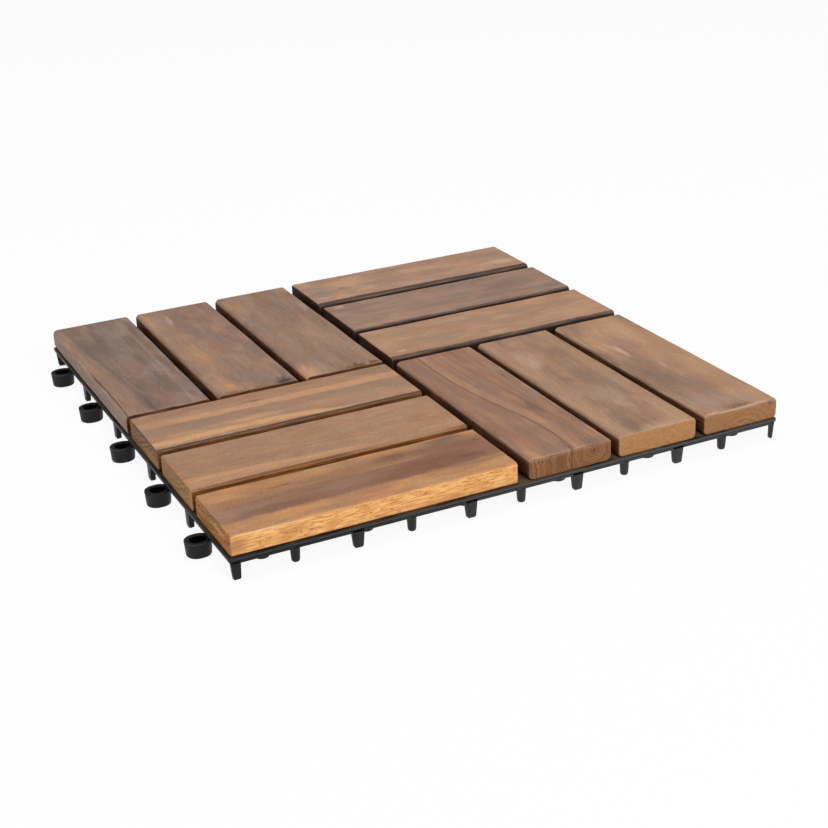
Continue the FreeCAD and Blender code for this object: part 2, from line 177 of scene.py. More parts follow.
class Nodes:
    """The node tree of a material or the world, with short calls for the nodes that it needs."""

    def __init__(self, owner, output="ShaderNodeOutputMaterial"):
        owner.use_nodes = True
        self.owner = owner
        self.tree = owner.node_tree
        self.tree.nodes.clear()
        self.out = self.tree.nodes.new(output).inputs["Surface"]

    def feed(self, socket, value):
        if isinstance(value, Value):
            self.tree.links.new(value.socket, socket)
        elif socket.type == "RGBA":
            socket.default_value = (*(part / 1000 for part in value), 1.0)
        else:
            socket.default_value = value

    def put(self, kind, inputs, output=0, **settings):
        """Adds a node, feeds its inputs by name or place, and gives one of its outputs."""
        node = self.tree.nodes.new(kind)
        for key, value in settings.items():
            setattr(node, key, value)
        for key, value in inputs.items():
            self.feed(node.inputs[key], value)
        return Value(self, node.outputs[output])

    def math(self, operation, *values, clamp=False):
        inputs = dict(enumerate(values))
        return self.put("ShaderNodeMath", inputs, operation=operation, use_clamp=clamp)

    def vector(self, operation, a, b):
        output = "Value" if operation == "DOT_PRODUCT" else "Vector"
        return self.put("ShaderNodeVectorMath", {0: a, 1: b}, output, operation=operation)

    def place(self):
        return self.put("ShaderNodeTexCoord", {}, "Object")

    def pack(self, x, y, z):
        return self.put("ShaderNodeCombineXYZ", {0: x, 1: y, 2: z})

    def grey(self, value):
        return self.pack(value, value, value)

    def split(self, vector):
        first = self.put("ShaderNodeSeparateXYZ", {0: vector})
        return [Value(self, output) for output in first.socket.node.outputs]

    def length(self, a, b):
        return self.math("SQRT", a * a + b * b)

    def noise(self, spot, detail=2.0, roughness=0.5, scale=1.0):
        vector = self.pack(*spot) if isinstance(spot, tuple) else spot
        inputs = {"Vector": vector, "Scale": scale, "Detail": detail, "Roughness": roughness}
        return self.put("ShaderNodeTexNoise", inputs, "Fac", normalize=True)

    def mix(self, factor, a, b, blend="MIX"):
        inputs = {0: factor, 6: a, 7: b}
        return self.put("ShaderNodeMix", inputs, 2, data_type="RGBA", blend_type=blend)

    def tinted(self, color, tint):
        return self.mix(1.0, color, tint, "MULTIPLY")

    def blot(self, color, a, b, spots, gate=None):
        """Soft-edged blots of (place a, place b, reach a, reach b, colour, strength)."""
        for spot_a, spot_b, reach_a, reach_b, tint, strength in spots:
            far = self.length((a - spot_a) / reach_a, (b - spot_b) / reach_b)
            mask = far.step(0.2, 1.0, strength / 100, 0.0)
            if gate is not None:
                mask *= gate
            color = self.mix(mask, color, tint)
        return color

    def shade(self, color, roughness, height=None, bump=0.1, reach=0.0, gloss=None, **settings):
        """Ends the tree with a plain shader. The bump's reach is in metres.

        Gloss is a value and its mean. The mean stays on the socket, for an export that drops
        what is linked to it.
        """
        inputs = {"Base Color": color, "Roughness": roughness, **settings}
        if height is not None:
            relief = {"Strength": bump, "Distance": reach, "Height": height}
            inputs["Normal"] = self.put("ShaderNodeBump", relief)
        shader = self.put("ShaderNodeBsdfPrincipled", inputs)
        if gloss is not None:
            level = shader.socket.node.inputs["Specular IOR Level"]
            value, level.default_value = gloss
            self.feed(level, value)
        self.feed(self.out, shader)
        return self.owner


def plastic():
    """Black moulded plastic: mottled, greyer to the right by painted shade on the left, with holes
    painted black as shade, painted light on the rim, and worn arrises with painted highlights.
    """
    n = Nodes(bpy.data.materials.new("base_plastic"))
    place = n.place()
    cloud = n.noise(place, 3.0, scale=60.0)
    grain = n.noise(place, scale=2600.0)
    x, y, height = n.split(n.vector("MULTIPLY", place, PER_METRE))
    x, y = x - SHIFT, y + SHIFT

    def to_hole(along, out):
        """How far a spot is from the middle line of the nearest loop's hole."""
        along = along - n.math("SNAP", along + LINK / 2, LINK)
        inward = out + LOOP_LINE
        past = n.math("MAXIMUM", inward - LOOP_STRETCH, 0.0)
        return n.length(along, n.math("MINIMUM", inward, 0.0) + past)

    near = n.math("MINIMUM", to_hole(y, x), to_hole(x, y * -1.0))
    out = n.math("MAXIMUM", abs(x), abs(y))
    color = n.mix(cloud.step(0.3, 0.7), (10, 10.5, 11), (21, 21.5, 21.5))

    # painted light on the rim's edge: a painted highlight along its middle, with painted shade in
    # dark lines below and above it
    rim_highlight_and_shade = [
        (0.0, 0.012), (9.2, 0.012), (9.7, 0.001), (10.1, 0.002),
        (10.45, 0.06), (10.85, 0.06), (11.1, 0.004), (12.0, 0.004),
    ]
    on_edge = out.step(HALF_SIDE - 0.6, HALF_SIDE - 0.3)
    color = n.mix(on_edge, color, n.grey(height.curve(rim_highlight_and_shade, 12.0)))

    # wood dust and a painted brownish highlight lie on the ledge round the slats
    dust_and_highlight = height.step(SEAT - 0.2, SEAT - 0.05) * cloud.step(0.30, 0.60)
    color = n.mix(dust_and_highlight * 0.75, color, (110, 66, 36))

    # the loops' upper arrises are worn and carry a painted highlight, and their holes are painted
    # black as shade
    from_in = near.step(LOOP_RADIUS - 0.5, LOOP_RADIUS - 0.2)
    worn = from_in * near.fall(LOOP_RADIUS + 0.1, LOOP_RADIUS + 0.2) * height.step(7.2, 7.6)
    color = n.mix(worn * cloud.step(0.3, 0.6), color, (70, 72, 75))
    # painted shade: the inside of each hole is painted near black
    hole = near.fall(HOLE_RADIUS + 0.1, HOLE_RADIUS + 0.4) * height.fall(7.3, 7.7)
    color = n.mix(hole, color, (1, 1, 1))

    # painted shade: the plastic is tinted darker and bluer towards the left, so it looks greyer to
    # the right, where it is glossier too
    right = x.step(-150.0, 60.0)
    color = n.mix(right, n.tinted(color, (620, 640, 680)), color)
    gloss = right.fit(0.22, 0.20) * (1.0 - hole * 0.8)
    rough = grain.fit(0.16, 0.40)
    return n.shade(color, rough, grain, bump=0.12, reach=0.0002, gloss=(gloss, 0.3))


def steel():
    n = Nodes(bpy.data.materials.new("screw_steel"))
    cloud = n.noise(n.place(), 3.0, scale=900.0)
    color = n.mix(cloud, (520, 500, 460), (700, 690, 660))
    return n.shade(color, cloud.fit(0.2, 0.28), Metallic=1.0)


class Wood(Nodes):
    """Hardwood in a slat's own millimetres: u along it, v across it and w down from its top.

    u starts at the left or front end, and v at the back or left edge. The look is one row of
    LOOKS, on top of PLAIN_LOOK.
    """

    def __init__(self, name, centre, along_y, seed, look):
        super().__init__(bpy.data.materials.new(name))
        self.look = look
        self.seed = seed * 37.0
        local = self.vector("SUBTRACT", self.place(), tuple(to_row(*centre, TOP)))
        self.x, self.y, z = self.split(self.vector("MULTIPLY", local, PER_METRE))
        if along_y:
            self.u, self.v = self.y + SLAT_LENGTH / 2, self.x + SLAT_WIDTH / 2
        else:
            self.u, self.v = self.x + SLAT_LENGTH / 2, SLAT_WIDTH / 2 - self.y
        self.w = z * -1.0
        self.deep = self.w * 0.9

        # the grain leans and wanders a little across the slat
        drift = self.clouds(0.014, 0.03, 0, 2.0, deep=self.w)
        self.across = drift.fit(look["wander"], self.u.fit(look["lean"], self.v))
        self.bands = self.streaks(0.02, 0.42, 3.0, 11.0)
        self.fibre = self.streaks(0.05, 2.1, 3.0, 23.0)
        self.cloud = self.clouds(0.045, 0.09, 5, 3.0)

        # the way a face looks out tells a long side or an end from the top
        normal = self.put("ShaderNodeNewGeometry", {}, "Normal")
        x_axis, y_axis = (1.0, 0.0, 0.0), (0.0, 1.0, 0.0)
        side, end = (x_axis, y_axis) if along_y else (y_axis, x_axis)
        self.on_side = abs(self.vector("DOT_PRODUCT", normal, side)).step(0.66, 0.98)
        self.on_end = abs(self.vector("DOT_PRODUCT", normal, end)).step(0.55, 0.9)

    def clouds(self, along, side, shift, detail, roughness=0.5, deep=None):
        """Noise in soft patches, with its own waves per millimetre along and across."""
        long = self.u.fit(along, self.seed + shift)
        return self.noise((long, self.v * side, deep or self.deep), detail, roughness)

    def streaks(self, along, tight, detail, shift):
        """Noise drawn out along the grain."""
        long = self.u.fit(along, self.seed + shift)
        return self.noise((long, self.across * tight, self.deep * tight), detail, 0.55)

    def figure(self):
        """The slat's broad tones, then its bands and spots as the photograph has them."""
        look = self.look
        dark, mid, light = look["tones"]
        broad = self.streaks(0.012, 0.11, 3.0, 0.0).step(0.30, 0.70)
        color = self.mix(self.cloud.step(0.42, 0.72) * 0.75, self.mix(broad, dark, mid), light)
        color = self.mix(self.bands.step(0.52, 0.72) * 0.35, color, dark)
        # patches lean to red or to grey
        hue = self.clouds(0.04, 0.11, 9, 2.0).step(0.35, 0.65)
        red, grey = (1050, 985, 930), (950, 1010, 1060)
        color = self.mix(hue, self.tinted(color, red), self.tinted(color, grey))

        # the edges of bands and spots are shaken
        swirl = self.clouds(0.16, 0.34, 15, 4.0, 0.6) - 0.5
        bands = self.bands - 0.5
        for points, half, soft, tint, strength in look["lines"]:
            shaken = swirl.fit(min(soft, 3.0) * 0.9, bands.fit(soft, self.v))
            off = abs(shaken - self.u.curve(points, SLAT_LENGTH))
            color = self.mix(off.fall(half, half + soft) * (strength / 100), color, tint)
        u = swirl.fit(16.0, (self.cloud - 0.5).fit(12.0, self.u))
        v = swirl.fit(3.0, bands.fit(3.0, self.v))
        return self.blot(color, u, v, look["spots"])

    def texture(self, color):
        """Fine fibre, a mid-scale mottle, short dark dashes of open pores and sanding marks."""
        look = self.look
        fine, grain = look["fibre"], look["grain"]
        value = self.fibre.fit(fine, 1.0 - fine / 2)
        mottle = self.streaks(0.09, 0.45, 3.0, 43.0)
        value *= mottle.fit(0.46 * grain, 1.0 - 0.23 * grain)
        dash = self.streaks(0.13, 1.35, 2.0, 57.0)
        value *= dash.step(0.58, 0.76, 1.0, 1.0 - look["dash"])
        # the whole deck was sanded one way, slantwise across the slats
        sanded = self.x * 0.5 + self.y * 0.87
        beside = self.x * 0.87 - self.y * 0.5
        marks = self.noise((sanded.fit(0.22, self.seed), beside * 1.35, self.w), 3.0)
        value *= marks.fit(0.44 * grain, 1.0 - 0.22 * grain)

        # contrast about the slat's own tone
        light = self.vector("DOT_PRODUCT", color, LUMA)
        middle = sum(weight * part / 1000 for weight, part in zip(LUMA, look["tones"][1]))
        push = self.math("POWER", light / middle, look["contrast"]) * value
        return self.tinted(color, self.pack(*(push * part for part in look["tone"])))

    def side_face(self, color):
        """A long side that is open to view, with short grain and dark flecks."""
        side = self.look["side"]
        dark, mid, light = side["tones"]
        along = self.u.fit(0.13, self.seed)
        short = self.noise((along, 0.0, self.w * 1.25), 4.0, 0.65)
        patch = self.noise((along * 0.5, 3.0, self.w * 0.35), 3.0)
        face = self.mix(short.step(0.36, 0.60), dark, light)
        face = self.mix(patch.step(0.48, 0.64) * 0.6, face, mid)
        long = self.u.fit(0.40, self.seed)
        fleck = self.noise((long, 0.0, self.w * 1.5), 3.0, 0.65)
        flecks = fleck.step(0.57, 0.64) * patch.step(0.40, 0.55)
        face = self.mix(flecks * side["flecks"], face, side["fleck"])
        face = self.blot(face, self.u, self.w, side.get("spots", []))
        return self.mix(self.on_side, color, face)

    def end_face(self, color):
        """End grain: arcs of growth rings about a heart that may lie outside the slat."""
        look, v, w = self.look, self.v, self.w
        dark, light = look["ends"]
        heart_v, heart_w = look["heart"]
        rough = self.noise((v.fit(0.25, self.seed), w * 0.25, 0.0))
        ring = rough.fit(4.0, self.length(v - heart_v, w - heart_w))
        arcs = self.noise((ring * 0.85, self.seed, 0.0), 3.0, 0.6)
        soft = look["rings"]
        face = self.mix(arcs.step(0.5 - soft, 0.5 + soft), dark, light)
        speck = self.noise((v, w * 1.2, self.seed), 3.0, scale=1.5)
        face = self.mix(speck.step(0.46, 0.66) * 0.5, face, dark)
        # the spots are on the left or front end alone
        face = self.blot(face, v, w, look["end_spots"], gate=self.u.fall(8.0, 16.0))
        mealy = self.noise((v, w, self.seed), 4.0, 0.7, 0.9).fit(0.9, 0.55)
        return self.mix(self.on_end, color, self.tinted(face, self.grey(mealy)))

    def worn_arrises(self, color):
        look, half_v, half_u = self.look, SLAT_WIDTH / 2, SLAT_LENGTH / 2
        edge_v = (abs(self.v - half_v) - (half_v - 1.7)).step(0.0, 1.2)
        edge_u = (abs(self.u - half_u) - (half_u - 1.0)).step(0.0, 0.8)
        near = self.math("MAXIMUM", edge_v, edge_u)
        worn = near * self.w.fall(0.6, 2.6) * self.cloud.step(0.35, 0.65)
        return self.mix(worn * look["wear"], color, look.get("worn", look["tones"][2]))

    def split_open(self, color):
        """Cracks that run in from the left or front end."""
        for points, half, reach in self.look["cracks"]:
            shaken = (self.fibre - 0.5).fit(0.5, self.v)
            off = abs(shaken - self.u.curve(points, SLAT_LENGTH))
            crack = off.fall(half * 0.5, half) * self.u.fall(reach * 0.7, reach)
            color = self.mix(crack * 0.85, color, (35, 22, 16))
        return color

    def in_gaps(self, shut):
        """How far a spot is on the wall of a gap, from 0 to 1."""
        low_v, high_v, low_u, high_u = shut
        side = self.v.step(20.0, 24.0, low_v, high_v)
        side = side * self.w.step(*self.look["gap_from"])
        end = self.u.step(60.0, 80.0, low_u, high_u) * self.w.step(0.1, 1.0)
        return self.math("MAXIMUM", self.on_side * side, self.on_end * end)

    def finish(self, shut):
        """shut says how far the sides at low and high v, and the ends, face into a gap."""
        color = self.texture(self.figure())
        if "side" in self.look:
            color = self.side_face(color)
        color = self.split_open(self.worn_arrises(self.end_face(color)))
        # the walls of the gaps never see the light, so they get painted shade, mottled and darker
        # below their top
        inside = self.in_gaps(shut)
        shade_mottle = self.mix(self.cloud.step(0.42, 0.62), (700, 700, 700), (2200, 2000, 1800))
        color = self.mix(inside, color, self.tinted(self.look["gap"], shade_mottle))
        relief = self.streaks(0.22, 5.5, 2.0, 31.0).fit(0.6, self.fibre * 0.8)
        gloss = (inside.fit(-0.2, 0.22), 0.22)
        rough = self.bands.fit(0.25, 0.56)
        return self.shade(color, rough, relief, bump=0.25, reach=0.0003, gloss=gloss)


# ------------ slats

KNOT = (60, 56, 66)
# What a slat's look is where LOOKS and its group say nothing, in the slat's own millimetres.
# LOOKS adds the tones (dark, mid, light), the ends (dark, light), the tone (factors of red, green
# and blue), the contrast, and at times the worn colour and the side (tones, fleck, flecks, spots).
PLAIN_LOOK = dict(
    lean=0.0,  # how far the grain leans across, per millimetre along
    wander=7.0,  # how far the grain wanders across
    lines=[],  # ([(u, v), ...], half width, soft edge, colour, strength)
    spots=[],  # (u, v, reach in u, reach in v, colour, strength)
    cracks=[],  # ([(u, v), ...], half width, how far in from the end)
    end_spots=[],  # (v, w, reach in v, reach in w, colour, strength)
    fibre=0.36,  # the strength of the fine fibre
    grain=1.0,  # the strength of the mottle and the sanding marks
    dash=0.16,  # the strength of the open pores
    heart=(22.0, 30.0),  # the growth rings' centre, in v and w
    rings=0.14,  # the softness of the growth rings
    wear=0.3,  # how far the arrises are worn
    gap=(55, 23, 10),  # the painted shade on the wall of a gap
    gap_from=(0.7, 2.6),  # the depths between which it turns dark
    edge=2.6,  # the radius of the arrises
    far=2.0,  # the radius of the upper arris on the far side
    extra=0.6,  # how much fuller the far side is than the part's
)
GROUP_LOOKS = dict(
    back_left=dict(extra=1.0, gap=(80, 28, 9)),
    back_right=dict(gap=(20, 10, 7), gap_from=(0.1, 1.1)),
    front_left=dict(edge=1.6, far=1.6),
    front_right=dict(gap=(75, 28, 10)),
)
LOOKS = {}
LOOKS["back_left_1"] = dict(
    tone=(0.95, 0.94, 0.92), contrast=0.45, lean=0.05,
    tones=((205, 138, 112), (262, 174, 138), (318, 212, 166)),
    ends=((130, 65, 35), (240, 130, 70)), worn=(400, 310, 250), wear=0.55,
    lines=[
        ([(0, 6), (50, 5), (100, 1), (145, 0)], 3.5, 6, (350, 206, 130), 50),
        ([(0, 16.5), (20, 15), (60, 12.2), (100, 8), (145, 5)], 0.1, 1.3, (130, 98, 92), 34),
        ([(0, 18), (60, 15), (100, 11), (145, 8)], 1.5, 7, (205, 140, 118), 30),
        ([(0, 37), (50, 38.5), (145, 37)], 0.2, 1.3, (345, 262, 215), 35),
    ],
    spots=[
        (8, 16, 22, 2.6, (130, 98, 92), 50), (16, 24, 26, 8, (300, 160, 115), 55),
        (62, 22, 30, 8, (300, 175, 128), 45), (28, 31, 14, 6, (215, 158, 128), 50),
        (96, 26, 32, 8, (235, 180, 148), 50), (128, 30, 22, 12, (290, 215, 178), 50),
        (108, 8, 28, 5, (190, 150, 135), 50),
    ],
    cracks=[([(0, 1.1), (30, 1.5), (60, 1), (145, 1)], 0.3, 80)],
    side=dict(
        tones=((235, 155, 120), (250, 165, 125), (345, 250, 200)), fleck=(130, 85, 65), flecks=0.5,
    ),
)
LOOKS["back_left_2"] = dict(
    tone=(0.94, 0.93, 0.93), contrast=0.3, lean=0.03,
    tones=((272, 170, 128), (318, 197, 142), (375, 228, 155)),
    ends=((130, 60, 30), (260, 130, 60)),
    lines=[([(0, 4), (60, 8), (145, 4)], 3, 6, (400, 238, 148), 50)],
    spots=[
        (60, 11, 26, 8, (455, 245, 120), 62), (10, 9, 16, 8, (440, 240, 130), 55),
        (10, 10.5, 6, 3, (560, 285, 110), 60), (128, 3, 20, 4, (450, 260, 155), 65),
        (130, 10.5, 16, 4, (300, 215, 190), 60), (125, 14.5, 10, 2.6, (470, 350, 290), 50),
        (26, 21, 22, 9, (290, 200, 148), 50), (2, 38.5, 9, 7.5, KNOT, 95),
        (6, 35, 5, 1.6, (300, 260, 260), 40), (0, 13, 3.2, 22, (270, 110, 35), 80),
    ],
)
LOOKS["back_left_3"] = dict(
    tone=(0.97, 0.95, 0.92), contrast=0.6, lean=-0.03,
    tones=((285, 180, 134), (322, 204, 146), (372, 232, 160)),
    ends=((130, 60, 30), (260, 130, 60)),
    spots=[
        (6, 3, 16, 11, (520, 285, 145), 65), (38, 16, 26, 9, (285, 190, 140), 45),
        (55, 32, 34, 10, (385, 232, 150), 45), (122, 8, 26, 8, (400, 240, 150), 55),
        (94, 22, 30, 13, (280, 182, 140), 50), (106, 42, 14, 3, (420, 310, 250), 45),
        (0, 34, 4, 18, (200, 85, 30), 85),
    ],
)
LOOKS["back_right_1"] = dict(
    extra=1.4, grain=0.9, fibre=0.22, dash=0.08, tone=(0.98, 0.97, 0.94), contrast=0.45, lean=0.02,
    tones=((378, 224, 146), (418, 248, 158), (470, 284, 178)),
    ends=((220, 100, 45), (360, 180, 90)),
    # the line along the front arris is painted shade at the gap's edge
    lines=[([(0, 45.6), (70, 46), (145, 45.6)], 2, 2, (85, 60, 52), 85)],
    spots=[
        (8, 37, 4, 2, (600, 360, 210), 70), (70, 38, 9, 3, (530, 320, 200), 50),
        (116, 4, 12, 3, (560, 320, 200), 55), (52, 18, 22, 8, (385, 215, 148), 50),
        (24, 10, 22, 6, (385, 235, 150), 50), (132, 30, 20, 10, (470, 285, 172), 50),
    ],
)
LOOKS["back_right_2"] = dict(
    extra=1.3, fibre=0.26, tone=(0.98, 0.97, 0.94), contrast=0.7, lean=-0.04,
    tones=((292, 186, 145), (330, 211, 158), (372, 238, 176)),
    ends=((180, 90, 45), (300, 170, 90)),
    # the line along the front arris is painted shade at the gap's edge
    lines=[([(0, 46), (145, 46)], 1.6, 1.8, (85, 58, 50), 80)],
    spots=[
        (112, 22, 26, 10, (258, 172, 130), 55), (7, 4, 4, 4, (460, 310, 230), 70),
        (98, 11, 24, 3, (375, 220, 150), 50), (30, 26, 40, 8, (335, 206, 145), 50),
        (60, 36, 60, 4, (355, 215, 150), 40), (40, 14, 30, 6, (330, 222, 178), 40),
    ],
)
LOOKS["back_right_3"] = dict(
    tone=(1.03, 1.01, 0.98), contrast=0.6, lean=0.04,
    tones=((360, 220, 156), (425, 258, 172), (480, 292, 188)),
    ends=((200, 100, 50), (340, 190, 100)),
    # the line along the front arris is painted shade at the gap's edge
    lines=[([(0, 46), (60, 45), (145, 45)], 2.6, 2.2, (100, 68, 56), 85)],
    spots=[
        (8, 29, 14, 12, (285, 222, 195), 65), (7, 35, 6, 4, (400, 340, 310), 50),
        (25, 23, 3, 2, (285, 135, 90), 80), (130, 12, 24, 10, (330, 218, 168), 60),
        (134, 31, 10, 6, (550, 315, 190), 65), (112, 10, 10, 6, (360, 220, 145), 50),
        (86, 26, 30, 6, (355, 220, 162), 50), (60, 34, 40, 5, (410, 275, 205), 45),
        (30, 14, 22, 9, (495, 300, 180), 50),
    ],
)
LOOKS["front_left_1"] = dict(
    extra=0.9, fibre=0.3, tone=(0.94, 0.9, 0.85), contrast=0.35, wander=4.0,
    tones=((400, 212, 112), (470, 250, 122), (550, 296, 135)),
    ends=((178, 57, 13), (554, 242, 54)), heart=(6.0, -60.0), gap=(85, 30, 10),
    lines=[
        ([(0, 25.5), (42, 25.5), (80, 24.5), (110, 23.5),
          (145, 22.5)], 6, 3.6, (295, 158, 108), 85),
        ([(0, 30), (50, 29.5), (90, 29.5), (118, 31),
          (132, 31.5), (145, 30.5)], 2.6, 2, (290, 150, 95), 45),
        ([(0, 18), (60, 15), (90, 11), (145, 9)], 2, 7, (340, 180, 108), 60),
    ],
    spots=[
        (16, 26, 24, 9, (350, 215, 155), 70), (100, 29, 44, 4.5, (262, 128, 80), 70),
        (2, 24, 9, 18, (400, 235, 150), 60), (66, 24, 24, 8, (330, 205, 150), 50),
        (28, 29, 26, 5, (250, 130, 90), 50), (52, 18, 26, 3, (270, 140, 95), 40),
        (39, 10, 11, 1.5, (245, 130, 72), 75), (97, 9.5, 16, 6, (245, 130, 88), 78),
        (113, 9, 8, 2.5, (300, 160, 100), 50), (127, 3, 17, 6, (240, 150, 118), 80),
        (136, 12, 14, 7, (262, 142, 112), 70), (112, 23, 34, 8, (262, 112, 72), 75),
        (122, 12, 28, 9, (280, 140, 98), 75), (132, 26, 12, 4, (235, 96, 68), 60),
        (62, 13, 24, 3, (330, 178, 110), 45),
    ],
    end_spots=[
        (40, 9.5, 12, 4, (480, 150, 35), 70), (22, 0.9, 30, 0.9, (100, 65, 45), 70),
        (30, 4, 12, 2, (620, 420, 200), 50),
    ],
    side=dict(
        tones=((580, 235, 62), (660, 290, 85), (880, 490, 185)), fleck=(200, 66, 20), flecks=0.9,
        spots=[
            (2, 6, 9, 5, (360, 135, 70), 65), (30, 5, 12, 2.4, (430, 165, 60), 50),
            # the pale spot along the top of the front face is a painted highlight on its rounded
            # arris
            (20, 1.5, 22, 2, (880, 570, 270), 45), (110, 9, 30, 2, (520, 190, 60), 50),
        ],
    ),
)
LOOKS["front_left_2"] = dict(
    fibre=0.22, dash=0.08, tone=(0.98, 0.95, 0.93), contrast=0.45,
    tones=((352, 202, 118), (385, 223, 130), (420, 247, 148)),
    ends=((228, 105, 41), (440, 236, 93)), heart=(8.0, -50.0), wear=0.1, gap=(125, 44, 12),
    gap_from=(0.3, 1.5),
    lines=[
        ([(0, 35), (30, 36.3), (60, 38.5), (90, 41.5), (145, 46)], 1.4, 2.2, (490, 270, 140), 75),
        ([(0, 41), (70, 43), (110, 46), (145, 47)], 2.2, 3, (440, 245, 135), 60),
        # this line along the front arris is painted shade at the gap's edge
        ([(0, 46.4), (60, 45.4), (145, 45.2)], 1.4, 1.4, (200, 80, 26), 85),
    ],
    spots=[
        (112, 43, 46, 6, (375, 215, 128), 85), (0, 30, 6, 22, (400, 190, 85), 60),
        (110, 10, 40, 12, (400, 235, 150), 50), (40, 14, 40, 12, (368, 216, 126), 50),
    ],
    end_spots=[(22, 0.9, 30, 0.9, (160, 100, 60), 60), (44, 6, 4, 12, (500, 230, 70), 60)],
    side=dict(
        tones=((300, 115, 35), (400, 170, 60), (500, 240, 90)), fleck=(160, 55, 18), flecks=0.6,
    ),
)
LOOKS["front_left_3"] = dict(
    extra=0.9, tone=(1.0, 0.97, 0.95), contrast=0.25, wander=4.0,
    tones=((340, 200, 124), (388, 228, 138), (440, 256, 148)),
    ends=((120, 52, 22), (340, 175, 78)), heart=(2.0, -40.0), wear=0.0, gap=(90, 35, 13),
    gap_from=(0.3, 1.5),
    lines=[
        ([(0, 14), (25, 14.5), (50, 15.5), (80, 15),
          (110, 15.5), (145, 15)], 1.8, 2.6, (520, 292, 156), 78),
        ([(0, 20), (40, 20), (60, 19.5), (90, 20), (145, 21)], 0.3, 1.6, (290, 172, 112), 50),
        ([(0, 25), (60, 24), (145, 26)], 2, 3.6, (318, 204, 138), 65),
        ([(0, 38.5), (60, 38), (85, 40.5), (110, 46), (145, 47)], 1.6, 2.6, (560, 315, 155), 80),
        # this line along the front arris is painted shade at the gap's edge
        ([(0, 46), (60, 45.7), (145, 45.7)], 1.6, 1.2, (70, 52, 46), 90),
    ],
    spots=[
        (4, 15, 26, 6, (385, 228, 142), 80), (142, 16, 14, 5, (400, 230, 150), 50),
        (61, 10.5, 9, 1.3, (235, 145, 90), 85), (118, 34, 34, 9, (372, 226, 150), 60),
        (30, 24, 16, 5, (300, 205, 155), 55), (56, 31, 24, 4, (530, 325, 175), 60),
        (20, 33, 18, 4, (480, 290, 165), 50), (100, 22, 24, 5, (350, 215, 150), 50),
        (66, 6, 40, 5, (360, 212, 140), 40),
    ],
    end_spots=[(34, 8, 16, 4, (420, 170, 50), 60), (22, 0.9, 30, 0.9, (55, 38, 30), 80)],
    side=dict(
        tones=((240, 100, 40), (330, 150, 60), (420, 210, 90)), fleck=(120, 50, 22), flecks=0.6,
    ),
)
LOOKS["front_right_1"] = dict(
    extra=1.2, far=1.5, grain=0.6, fibre=0.16, dash=0.06, tone=(0.98, 0.95, 0.91), contrast=0.45,
    wander=5.0, tones=((285, 160, 113), (330, 186, 127), (375, 215, 140)),
    ends=((163, 64, 24), (305, 137, 56)), rings=0.09, heart=(36.0, 3.4), worn=(430, 300, 230),
    wear=0.4,
    lines=[
        ([(0, 24.4), (14, 25.4), (36, 24.3), (57, 20.4), (86, 15),
          (114, 12.4), (145, 12.4)], 0.05, 0.75, (165, 85, 58), 75),
        ([(0, 28), (14, 28.8), (36, 27.6), (57, 23.7), (86, 18.5),
          (114, 16), (145, 16)], 1.2, 3.4, (400, 228, 145), 42),
        ([(0, 16), (60, 13), (86, 11), (114, 8), (145, 6)], 1, 3.2, (268, 160, 122), 60),
        ([(0, 33), (20, 33.6), (40, 31.6), (60, 27.4), (90, 22),
          (114, 19.5), (145, 19)], 0.1, 1, (235, 132, 100), 24),
        ([(0, 36), (30, 35.6), (46, 32.5), (66, 28.6),
          (96, 24.5), (145, 22.5)], 0.1, 1.1, (225, 125, 95), 26),
        ([(0, 44), (24, 41), (40, 36.5), (56, 34.6), (76, 33.5),
          (100, 30), (145, 27)], 0.1, 1, (225, 128, 98), 24),
        ([(0, 47), (30, 44), (50, 38.5), (70, 37.5),
          (100, 36), (145, 32)], 0.1, 1.2, (230, 130, 100), 24),
        ([(0, 39), (30, 38), (60, 35), (90, 31), (145, 27)], 0.2, 1.6, (268, 150, 110), 40),
        ([(0, 8), (145, 2)], 0.3, 1.6, (275, 158, 118), 35),
    ],
    spots=[
        (56, 33, 11, 2.6, (205, 122, 92), 70), (50, 35.5, 14, 1.6, (235, 132, 92), 60),
        (97, 41, 10, 1.2, (220, 120, 85), 65), (120, 38.5, 10, 1.2, (225, 128, 95), 65),
        (6, 5, 9, 4, (450, 225, 130), 65), (20, 8.5, 16, 7, (350, 170, 108), 45),
        (50, 10, 20, 5, (385, 205, 130), 50), (2, 38, 7, 8, (210, 140, 125), 55),
        (97, 27, 28, 6, (285, 172, 135), 55), (42, 28, 18, 3.5, (425, 230, 140), 50),
        (132, 22, 18, 5, (375, 215, 140), 45), (20, 33, 16, 4, (290, 168, 125), 50),
    ],
    cracks=[([(0, 23.6), (10, 23.9), (20, 24.6), (145, 25)], 0.28, 13)],
    end_spots=[(17, 5, 4.5, 8, (120, 52, 22), 50), (36, 3.6, 1.8, 1.6, (100, 45, 20), 80)],
)
LOOKS["front_right_2"] = dict(
    grain=0.8, fibre=0.28, tone=(0.96, 0.94, 0.91), contrast=0.8, lean=-0.03,
    tones=((315, 190, 130), (360, 218, 145), (405, 246, 158)),
    ends=((330, 148, 52), (475, 237, 93)), rings=0.3, heart=(10.0, 40.0),
    lines=[
        ([(0, 4), (70, 5), (145, 6)], 2, 5, (410, 250, 158), 50),
        ([(0, 41), (70, 40), (145, 38)], 1.6, 4, (410, 242, 146), 50),
    ],
    spots=[
        (7, 14, 14, 7, (270, 160, 115), 60), (26, 16, 16, 6, (295, 182, 138), 50),
        (48, 24, 20, 11, (390, 270, 210), 50), (76, 28, 22, 9, (290, 186, 136), 60),
        (62, 13, 16, 6, (330, 215, 160), 45), (112, 32, 14, 9, (285, 186, 142), 55),
        (110, 12, 20, 8, (450, 285, 205), 55), (12, 38, 24, 8, (425, 262, 150), 55),
        (-3, 26, 12, 24, (470, 320, 185), 50), (142, 16, 5, 8, (290, 205, 170), 50),
    ],
)
